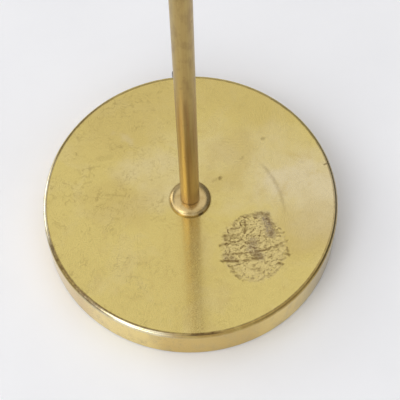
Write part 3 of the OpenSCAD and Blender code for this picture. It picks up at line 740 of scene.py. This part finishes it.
def cast_iron():
    return grained(
        "cast_iron", Metallic=0.7,
        grain=(0.7, 5, 0.65), tones=(rgb(58, 57, 58), rgb(92, 90, 88)), between=(0.3, 0.7),
        rough=(0.5, 0.75), depth=0.4, strength=0.7,
    )


def felt():
    return grained(
        "felt", Sheen_Weight=0.4, Sheen_Roughness=0.5, Specular_IOR_Level=0.15,
        grain=(1.6, 6, 0.8, 1.5), tones=(rgb(40, 56, 45), rgb(70, 88, 72)), between=(0.35, 0.65),
        rough=(0.85, 1.0), depth=0.5, strength=0.9,
    )


def steel():
    return grained(
        "zinc_steel", Metallic=1.0,
        grain=(0.9, 4, 0.6, 0.5), tones=(rgb(158, 160, 163), rgb(190, 191, 190)), between=(0.35, 0.65),
        rough=(0.24, 0.4), depth=0.02, strength=0.5,
    )


def bakelite():
    return grained(
        "bakelite", Coat_Weight=0.3, Coat_Roughness=0.15,
        grain=(0.25, 4, 0.6, 1.0), tones=(rgb(30, 22, 18), rgb(58, 40, 30)), between=(0.4, 0.7),
        rough=(0.22, 0.36), depth=0.03, strength=0.4,
    )


def ivory_plastic():
    return grained(
        "ivory_plastic", Coat_Weight=0.2,
        grain=(0.35, 4, 0.6), tones=(rgb(226, 220, 202), rgb(206, 198, 176)), between=(0.35, 0.7),
        rough=(0.3, 0.45), depth=0.03, strength=0.4,
    )


def fibre():
    return grained(
        "red_fibre", squeeze=(1, 1, 3),
        grain=(0.8, 5, 0.7), tones=(rgb(120, 54, 40), rgb(86, 36, 28)), between=(0.35, 0.65),
        rough=(0.5, 0.7), depth=0.06, strength=0.5,
    )


def wire_sheath():
    return grained(
        "wire_sheath",
        grain=(0.5, 3, 0.6), tones=(rgb(226, 222, 206), rgb(204, 198, 176)), between=(0.35, 0.7),
        rough=(0.4, 0.55), depth=0.04, strength=0.4,
    )


def white_lacquer():
    """The shade's lining: a slight peel, and dust."""
    made = Finish("white_lacquer", Coat_Weight=0.3, Coat_Roughness=0.2)
    peel = made.noise(made.place, 0.6, 3, 0.5)
    dust = made.level(made.noise(made.place, 0.06, 5), 0.5, 0.8)
    colour = made.mix(dust, rgb(238, 236, 228), rgb(220, 214, 196))
    return made.done(colour, made.spread(peel, 0.3, 0.42), made.bump(peel, 0.03 * MM, 0.5))


def opal_glass():
    """The bulb: milky glass that scatters a little light under its surface."""
    made = Finish("opal_glass", Coat_Weight=0.6, Coat_Roughness=0.05, Subsurface_Weight=0.3)
    made.shader.inputs["Subsurface Radius"].default_value = (0.004, 0.004, 0.004)
    mottle = made.noise(made.place, 0.08, 4)
    colour = made.mix(made.level(mottle, 0.35, 0.7), rgb(244, 241, 232), rgb(234, 228, 214))
    return made.done(colour, made.spread(mottle, 0.16, 0.26))


FINISHES = {
    "base_brass": worn_brass(),
    "brass": turned_brass(),
    "shade_brass": spun_brass(),
    "cast_iron": cast_iron(),
    "felt": felt(),
    "steel": steel(),
    "bakelite": bakelite(),
    "terminal": ivory_plastic(),
    "fibre": fibre(),
    "wire_sheath": wire_sheath(),
    "opal_glass": opal_glass(),
}
GRAIN_ALONG_Z = (1, 1, 0.02)
GRAIN_ALONG_X = (0.02, 1, 1)
STEM_FINISH = drawn_brass("stem_brass", GRAIN_ALONG_Z, stem=True)
ARM_FINISH = drawn_brass("arm_brass", GRAIN_ALONG_X)
NECK_FINISH = drawn_brass("neck_brass", GRAIN_ALONG_Z)
COLLAR_FINISH = collar_brass()
SHADE_LINING = white_lacquer()


# Meshes of turned and drawn pieces: steps around the axis, the angle that counts as an edge, how close to
# its ends a long stretch is held, and the radius that counts as on the axis
TURN_STEPS = 128
BASE_STEPS = 256
TUBE_STEPS = 96
SHADE_STEPS = 160
HOLE_STEPS = 48
SHARP = math.radians(32)
HOLD = 0.3 * MM
LONG = 4 * HOLD
ON_AXIS = 1e-6
# Flutes: their count, their depth and the radius where they start. The power makes them narrow
NO_FLUTES = (0, 0.0, 0.0)
FLUTE_POWER = 3


def arc(centre, radius, start, end, steps):
    """Points (radius from the axis, height) on a round stretch, from one angle in degrees to another."""
    angles = [math.radians(start + (end - start) * i / steps) for i in range(steps + 1)]
    return [(centre[0] + radius * math.cos(a), centre[1] + radius * math.sin(a)) for a in angles]


def held(outline, closed):
    """The outline with a point close to each end of a long straight stretch, so that it shades flat."""
    points = []
    for i, here in enumerate(outline):
        points.append(here)
        if i + 1 == len(outline) and not closed:
            break
        a, b = Vector(here), Vector(outline[(i + 1) % len(outline)])
        if (b - a).length > LONG:
            step = (b - a).normalized() * HOLD
            points += [tuple(a + step), tuple(b - step)]
    return points


def flute_cut(radius, turn, count, depth, start):
    """How deep flutes cut into a rim at a turn."""
    return min(depth, max(0.0, radius - start)) * max(0.0, math.cos(count * turn)) ** FLUTE_POWER


def face_outwards(mesh):
    shape = bmesh.new()
    shape.from_mesh(mesh)
    bmesh.ops.recalc_face_normals(shape, faces=shape.faces)
    shape.to_mesh(mesh)
    shape.free()


def shade_smooth(mesh):
    for polygon in mesh.polygons:
        polygon.use_smooth = True
    mesh.set_sharp_from_angle(angle=SHARP)


def lathe(name, outline, place, closed=True, steps=TURN_STEPS, flutes=NO_FLUTES):
    """A turned piece: an outline of (radius, height) points around the Z axis of a place."""
    points, rings, faces = [], [], []
    for radius, height in held(outline, closed):
        if radius < ON_AXIS:
            rings.append([len(points)] * steps)
            points.append(Vector((0, 0, height)))
            continue
        rings.append(range(len(points), len(points) + steps))
        for i in range(steps):
            turn = 2 * math.pi * i / steps
            out = radius - flute_cut(radius, turn, *flutes)
            points.append(Vector((out * math.cos(turn), out * math.sin(turn), height)))
    following = rings[1:] + (rings[:1] if closed else [])
    for low, high in zip(rings, following):
        for i in range(steps):
            j = (i + 1) % steps
            # Next to the axis, a face has three corners or none
            face = list(dict.fromkeys((low[i], low[j], high[j], high[i])))
            if len(face) > 2:
                faces.append(face)
    mesh = bpy.data.meshes.new(name)
    mesh.from_pydata([place @ point for point in points], [], faces)
    face_outwards(mesh)
    shade_smooth(mesh)
    piece = bpy.data.objects.new(name, mesh)
    scene.collection.objects.link(piece)
    return piece


def drill(piece, place, radius, reach):
    """Cuts a round hole along the Z axis of a place, reach each way."""
    outline = [(0, -reach), (radius, -reach), (radius, reach), (0, reach)]
    cutter = lathe("cutter", outline, place, closed=False, steps=HOLE_STEPS)
    cut = piece.modifiers.new("hole", "BOOLEAN")
    cut.operation = "DIFFERENCE"
    cut.object = cutter
    graph = bpy.context.evaluated_depsgraph_get()
    mesh = bpy.data.meshes.new_from_object(piece.evaluated_get(graph))
    piece.modifiers.clear()
    piece.data = mesh
    bpy.data.objects.remove(cutter)
    shade_smooth(mesh)


SLOT_OF = {row["node"]: row["material_slot"] for row in frame["record"]["subparts"]}
BODY_OF = {node: body for body, nodes in frame["record"]["behaviour"]["bodies"].items() for node in nodes}


def settle(piece, node, finish=None):
    """A piece that stands for a CAD node: it rides on the node's body and has its finish or a special one."""
    slot = SLOT_OF[node]
    piece.data.materials.append(finish or FINISHES[slot])
    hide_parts(node)
    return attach(piece, BODY_OF[node])


# Turns of a piece's Z axis, and the places of the stand and of the head, whose Z axis points down
UP = Matrix.Identity(4)
DOWN = Matrix.Rotation(math.pi, 4, "X")
ALONG_X = Matrix.Rotation(math.pi / 2, 4, "Y")
ALONG_Y = Matrix.Rotation(-math.pi / 2, 4, "X")
STAND = UP
HEAD = Matrix.Translation(JOINTS["head_tilt"]) @ DOWN


def centred(node, turn):
    """The place in the middle of a node, with the Z axis of a turn, and the node's size."""
    low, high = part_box(node)
    return Matrix.Translation((low + high) / 2) @ turn, high - low


# Base. A hole is given by its radius
COVER_WALL = 1.0 * MM
COVER_EDGE = 3.0 * MM
NIPPLE_HOLE = 5.25 * MM
BUSH_TURN = math.radians(3.5)
BUSH_HOLE = 5.25 * MM
BUSH_Z = 17.0 * MM
# How far a drilled hole reaches to each side of a wall
WALL_REACH = 8.0 * MM
FELT_ROUND = 0.7 * MM
FELT_WAVES = 64
FELT_WAVE_DEPTH = 0.15 * MM
COLLAR_FOOT = 0.5 * MM
COLLAR_GAP = 0.03 * MM
# The power of the collar's crown: 2 would be a quarter of an ellipse
COLLAR_FULLNESS = 2.4
COLLAR_STEPS = 32


def base_shell():
    low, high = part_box("base_cover")
    outer, top, lift = high.x, high.z, low.z
    hem = COVER_WALL / 2
    bend = (outer - COVER_EDGE, top - COVER_EDGE)
    outline = [
        *arc((outer - hem, lift + hem), hem, 180, 360, steps=8),
        *arc(bend, COVER_EDGE, 0, 90, steps=18),
        (NIPPLE_HOLE, top), (NIPPLE_HOLE, top - COVER_WALL),
        *arc(bend, COVER_EDGE - COVER_WALL, 90, 0, steps=10),
    ]
    piece = lathe("base_shell", outline, STAND, steps=BASE_STEPS)
    bush = Matrix.Rotation(BUSH_TURN, 4, "Z") @ Matrix.Translation((0, outer, BUSH_Z)) @ ALONG_Y
    drill(piece, bush, BUSH_HOLE, WALL_REACH)
    settle(piece, "base_cover")


def felt_pad():
    low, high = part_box("base_pad")
    outer, top = high.x, high.z
    rim = (outer - FELT_ROUND, low.z + FELT_ROUND)
    outline = [(0, low.z), *arc(rim, FELT_ROUND, -90, 0, steps=5), (outer, top), (0, top)]
    waves = (FELT_WAVES, FELT_WAVE_DEPTH, 0.0)
    piece = lathe("felt_disc", outline, STAND, closed=False, steps=BASE_STEPS, flutes=waves)
    settle(piece, "base_pad")


def foot_collar():
    low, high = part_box("stem_collar")
    stem_low, stem_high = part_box("stem_tube")
    outer, seat = high.x, low.z + COLLAR_FOOT
    bore, ledge = stem_high.x + COLLAR_GAP, stem_low.z
    crown = []
    for i in range(COLLAR_STEPS + 1):
        turn = math.pi / 2 * i / COLLAR_STEPS
        across = max(0.0, math.cos(turn)) ** (2 / COLLAR_FULLNESS)
        rise = math.sin(turn) ** (2 / COLLAR_FULLNESS)
        crown.append((bore + (outer - bore) * across, seat + (high.z - seat) * rise))
    outline = [(NIPPLE_HOLE, low.z), (outer, low.z), *crown, (bore, ledge), (NIPPLE_HOLE, ledge)]
    settle(lathe("foot_collar", outline, STAND), "stem_collar", COLLAR_FINISH)


# Tubes
TUBE_WALL = 1.0 * MM
TUBE_LIP = 0.25 * MM


def pipe(name, node, turn, finish):
    """A drawn tube in the place of a node that lies along the Z axis of a turn."""
    place, size = centred(node, turn)
    half, outer = max(size) / 2, min(size) / 2
    inner = outer - TUBE_WALL
    outline = [
        (inner, -half), (outer - TUBE_LIP, -half), (outer, TUBE_LIP - half),
        (outer, half - TUBE_LIP), (outer - TUBE_LIP, half), (inner, half),
    ]
    settle(lathe(name, outline, place, steps=TUBE_STEPS), node, finish)


# Swivel caps
CAP_PLUG = 3.0 * MM
CAP_PLUG_R = 8.9 * MM
CAP_RIM = 1.2 * MM
CAP_H = 5.0 * MM


def cap(name, node, turn):
    """A domed cap on a plug; the turn points its Z axis out of the dome."""
    place, size = centred(node, turn)
    outer = max(size) / 2
    seat = place @ Matrix.Translation((0, 0, (CAP_PLUG - CAP_H) / 2))
    rise = CAP_H - CAP_RIM
    dome_r = (outer * outer + rise * rise) / (2 * rise)
    half = math.degrees(math.asin(outer / dome_r))
    outline = [
        (0, -CAP_PLUG), (CAP_PLUG_R, -CAP_PLUG), (CAP_PLUG_R, 0), (outer, 0),
        *arc((0, CAP_H - dome_r), dome_r, 90 - half, 90, steps=24),
    ]
    # The dome ends on the axis itself
    outline[-1] = (0, CAP_H)
    settle(lathe(name, outline, seat, closed=False, steps=TUBE_STEPS), node)


# Head
SHADE_WALL = 0.8 * MM
SHADE_HOLE = 14.25 * MM
SHADE_FLAT = 22.0 * MM
DOME_STEPS = 40
BEAD_R = 1.6 * MM
# How far above the bead's middle the dome's points end, in radii of the bead
BEAD_CLEAR = 1.2
HOLDER_HOLE = 5.25 * MM
HOLDER_WALL = 1.2 * MM
HOLDER_ROUND = 5.0 * MM
SWITCH_HOLE = 4.75 * MM
RING_LIP = 0.6 * MM
NECK_STOP_BORE = 5.1 * MM
SWITCH_NUT_BORE = 4.6 * MM
GLASS_WALL = 0.8 * MM
BULB_NECK = 6.95 * MM
# Where the bulb's neck runs into its globe, in degrees from the globe's equator, and the pull of that curve
BULB_JOIN = -48
BULB_PULL = 0.4
BULB_STEPS = 10


def depths(node):
    """How far a head node's top and bottom lie below the tilt axis."""
    low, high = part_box(node)
    axis = JOINTS["head_tilt"].z
    return axis - high.z, axis - low.z


def dome_curve(radius, top, mouth):
    """Points of the shade's dome from its flat top to its mouth."""
    start = math.asin(SHADE_FLAT / radius)
    rows = []
    for i in range(DOME_STEPS + 1):
        a = start + (math.pi / 2 - start) * i / DOME_STEPS
        down = (math.cos(start) - math.cos(a)) / math.cos(start)
        rows.append((radius * math.sin(a), top + (mouth - top) * down))
    return rows


def line_shade(piece, clear):
    """The white lining, on the faces that look inwards or down and lie above the bead."""
    piece.data.materials.append(SHADE_LINING)
    axis = HEAD.translation
    for polygon in piece.data.polygons:
        out = polygon.center - axis
        facing = polygon.normal.dot(Vector((out.x, out.y, 0)).normalized()) + polygon.normal.z
        above_bead = axis.z - polygon.center.z < clear
        polygon.material_index = 1 if facing < 0 and above_bead else 0


def shade():
    low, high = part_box("shade")
    top, bottom = depths("shade")
    mouth = bottom - BEAD_R
    outer = (high.y - low.y) / 2 - BEAD_R + SHADE_WALL / 2
    bead = (outer - SHADE_WALL / 2, mouth)
    meet = math.degrees(math.acos(SHADE_WALL / 2 / BEAD_R))
    clear = mouth - BEAD_R * BEAD_CLEAR
    outside = [p for p in dome_curve(outer, top, mouth) if p[1] < clear]
    inside = [p for p in dome_curve(outer - SHADE_WALL, top + SHADE_WALL, mouth) if p[1] < clear]
    outline = [
        (SHADE_HOLE, top), *outside, *arc(bead, BEAD_R, -meet, 180 + meet, steps=28),
        *reversed(inside), (SHADE_HOLE, top + SHADE_WALL),
    ]
    piece = lathe("dome_shade", outline, HEAD, steps=SHADE_STEPS)
    settle(piece, "shade")
    line_shade(piece, clear)


def lampholder_cover():
    low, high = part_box("lampholder_cap")
    top, bottom = depths("lampholder_cap")
    outer = (high.y - low.y) / 2
    bend = (outer - HOLDER_ROUND, top + HOLDER_ROUND)
    outline = [
        (HOLDER_HOLE, top), *arc(bend, HOLDER_ROUND, -90, 0, steps=16),
        (outer, bottom), (outer - HOLDER_WALL, bottom),
        *arc(bend, HOLDER_ROUND - HOLDER_WALL, 0, -90, steps=10), (HOLDER_HOLE, top + HOLDER_WALL),
    ]
    piece = lathe("lampholder_cover", outline, HEAD)
    side = JOINTS["switch_turn"] + Vector((outer, 0, 0))
    drill(piece, Matrix.Translation(side) @ ALONG_X, SWITCH_HOLE, WALL_REACH)
    settle(piece, "lampholder_cap")


def rounded_ring(name, node, turn, bore):
    """A plain ring with rounded edges, around the Z axis of a turn."""
    place, size = centred(node, turn)
    outer, half = max(size) / 2, min(size) / 2
    outline = [
        (bore, -half), *arc((outer - RING_LIP, RING_LIP - half), RING_LIP, -90, 0, steps=5),
        *arc((outer - RING_LIP, half - RING_LIP), RING_LIP, 0, 90, steps=5), (bore, half),
    ]
    settle(lathe(name, outline, place, steps=TUBE_STEPS), node)


def bezier(a, b, c, d, steps):
    """The inner points of a curve from a to d, with the handles b and c."""
    points = []
    for i in range(1, steps):
        t = i / steps
        s = 1 - t
        points.append(tuple(a * s ** 3 + b * (3 * t * s ** 2) + c * (3 * t ** 2 * s) + d * t ** 3))
    return points


def bulb():
    low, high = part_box("bulb_glass")
    top, tip = depths("bulb_glass")
    globe = (high.y - low.y) / 2
    neck_end = depths("lampholder_body")[1]
    middle = tip - globe
    join = math.radians(BULB_JOIN)

    def outline(inset):
        """The outer surface of the glass, or with an inset the inner one, from the neck to the tip."""
        radius, neck = globe - inset, BULB_NECK - inset
        start = Vector((neck, neck_end))
        end = Vector((radius * math.cos(join), middle + radius * math.sin(join)))
        pull = (end - start).length * BULB_PULL
        down = Vector((0, pull))
        along = Vector((-math.sin(join), math.cos(join))) * pull
        swell = bezier(start, start + down, end - along, end, BULB_STEPS)
        ball = arc((0, middle), radius, BULB_JOIN, 90, steps=28)
        # The ball ends on the axis itself
        ball[-1] = (0, middle + radius)
        return [(neck, top), tuple(start), *swell, *ball]

    points = [*outline(0), *reversed(outline(GLASS_WALL))]
    settle(lathe("bulb_globe", points, HEAD, steps=TUBE_STEPS), "bulb_glass")


# Switch
KNOB_BORE = 2.6 * MM
KNOB_DEPTH = 10.6 * MM
KNOB_FLUTES = 18
KNOB_STEPS = KNOB_FLUTES * 10
FLUTE_DEPTH = 0.5 * MM
KNOB_EDGE = 1.0 * MM
# The shallow dish in the knob's end: its depth, and where its slope starts and ends, in shares of the radius
DISH_DEPTH = 0.4 * MM
DISH_FROM = 0.6
DISH_TO = 0.5


def knob():
    low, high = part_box("switch_knob")
    end, outer = high.x - low.x, (high.y - low.y) / 2
    grip = outer - KNOB_EDGE
    axis = JOINTS["switch_turn"]
    outline = [
        (0, KNOB_DEPTH), (KNOB_BORE, KNOB_DEPTH), (KNOB_BORE, 0),
        *arc((grip, KNOB_EDGE), KNOB_EDGE, -90, 0, steps=5),
        *arc((grip, end - KNOB_EDGE), KNOB_EDGE, 0, 90, steps=6),
        (outer * DISH_FROM, end), (outer * DISH_TO, end - DISH_DEPTH), (0, end - DISH_DEPTH),
    ]
    place = Matrix.Translation((low.x, axis.y, axis.z)) @ ALONG_X
    flutes = (KNOB_FLUTES, FLUTE_DEPTH, grip)
    piece = lathe("turn_knob", outline, place, closed=False, steps=KNOB_STEPS, flutes=flutes)
    settle(piece, "switch_knob")


base_shell()
felt_pad()
foot_collar()
pipe("stem_pole", "stem_tube", UP, STEM_FINISH)
pipe("inner_arm_pipe", "inner_arm_tube", ALONG_X, ARM_FINISH)
pipe("outer_arm_pipe", "outer_arm_tube", ALONG_X, ARM_FINISH)
pipe("neck_pipe", "neck_tube", UP, NECK_FINISH)
cap("shoulder_dome", "shoulder_cap", UP)
cap("elbow_dome", "elbow_cap", UP)
cap("elbow_under_dome", "elbow_base_cap", DOWN)
cap("tilt_dome", "tilt_cap", ALONG_X)
shade()
lampholder_cover()
rounded_ring("neck_stop", "neck_ring", UP, NECK_STOP_BORE)
rounded_ring("switch_nut", "switch_ring", ALONG_X, SWITCH_NUT_BORE)
bulb()
knob()

# The CAD nodes that stay
for node, part in frame["nodes"].items():
    if not part.hide_render:
        part.data.materials.clear()
        part.data.materials.append(FINISHES[SLOT_OF[node]])


# Floor: half of its side, and how far it lies below the base
FLOOR_HALF = 400.0
FLOOR_DROP = 0.1 * MM
FLOOR_ROUGH = 0.6
FLOOR_TONES = (rgb(250, 250, 253), rgb(247, 247, 250))


def make_floor():
    mesh = bpy.data.meshes.new("floor")
    corners = [(-1, -1), (1, -1), (1, 1), (-1, 1)]
    points = [(x * FLOOR_HALF, y * FLOOR_HALF, -FLOOR_DROP) for x, y in corners]
    mesh.from_pydata(points, [], [(0, 1, 2, 3)])
    floor = bpy.data.objects.new("floor", mesh)
    scene.collection.objects.link(floor)
    made = Finish("pale_floor", Specular_IOR_Level=0.2)
    cloud = made.spread(made.noise(made.place, 0.01, 4), 0.0, 1.0)
    mesh.materials.append(made.done(made.mix(cloud, *FLOOR_TONES), FLOOR_ROUGH))


# Light: dim walls with soft glows, a pale ceiling and one soft box. The ceiling starts and is full at these
# cosines from the way to its middle
WALL_LIGHT = 0.22
CEILING_LIGHT = 1.05
CEILING_WAY = (0, 0.12, 0.993)
CEILING_FROM = 0.755
CEILING_FULL = 0.87
# Glows: azimuth, elevation, the angles from there where the glow is full and where it ends, in degrees, and
# its light. The last one is a dark place in the ceiling
GLOWS = [
    (-36, 22, 10, 34, 0.25),
    (-88, 28, 10, 40, 0.6),
    (234, 22, 4, 15, 2.6),
    (218, 22, 20, 48, 0.5),
    (150, 20, 8, 22, 2.0),
    (100, 16, 18, 38, 0.4),
    (195, 60, 8, 26, 0.3),
    (185, 36, 10, 26, 0.85),
    (-90, 73, 4, 14, -0.4),
]


def toward(azimuth, elevation):
    """A direction from the base. Azimuth is from +X towards +Y, in degrees."""
    a, e = math.radians(azimuth), math.radians(elevation)
    return Vector((math.cos(e) * math.cos(a), math.cos(e) * math.sin(a), math.sin(e)))


def make_world():
    world = bpy.data.worlds.new("studio")
    scene.world = world
    world.use_nodes = True
    made = Nodes(world.node_tree)
    way = made.add("TexCoord").outputs["Generated"]
    height = made.dot(way, CEILING_WAY)
    light = made.level(height, CEILING_FROM, CEILING_FULL, WALL_LIGHT, CEILING_LIGHT)
    for azimuth, elevation, inner, outer, amount in GLOWS:
        near = made.dot(way, toward(azimuth, elevation))
        ends, full = math.cos(math.radians(outer)), math.cos(math.radians(inner))
        light = made.plus(light, made.level(near, ends, full, 0.0, amount))
    background = world.node_tree.nodes["Background"]
    made.feed(background.inputs["Strength"], light)
    made.feed(background.inputs["Color"], (1, 1, 1, 1))


def soft_box(name, azimuth, elevation, distance, width, height, light):
    """A rectangular lamp that faces the base; light is its own brightness."""
    data = bpy.data.lights.new(name, "AREA")
    data.shape = "RECTANGLE"
    data.size = width
    data.size_y = height
    data.energy = light * math.pi * width * height
    lamp = bpy.data.objects.new(name, data)
    way = toward(azimuth, elevation)
    lamp.location = way * distance
    lamp.rotation_euler = way.to_track_quat("Z", "Y").to_euler()
    lamp.visible_camera = False
    scene.collection.objects.link(lamp)


make_floor()
make_world()
soft_box("key", azimuth=218, elevation=52, distance=3.0, width=0.9, height=1.4, light=2.1)
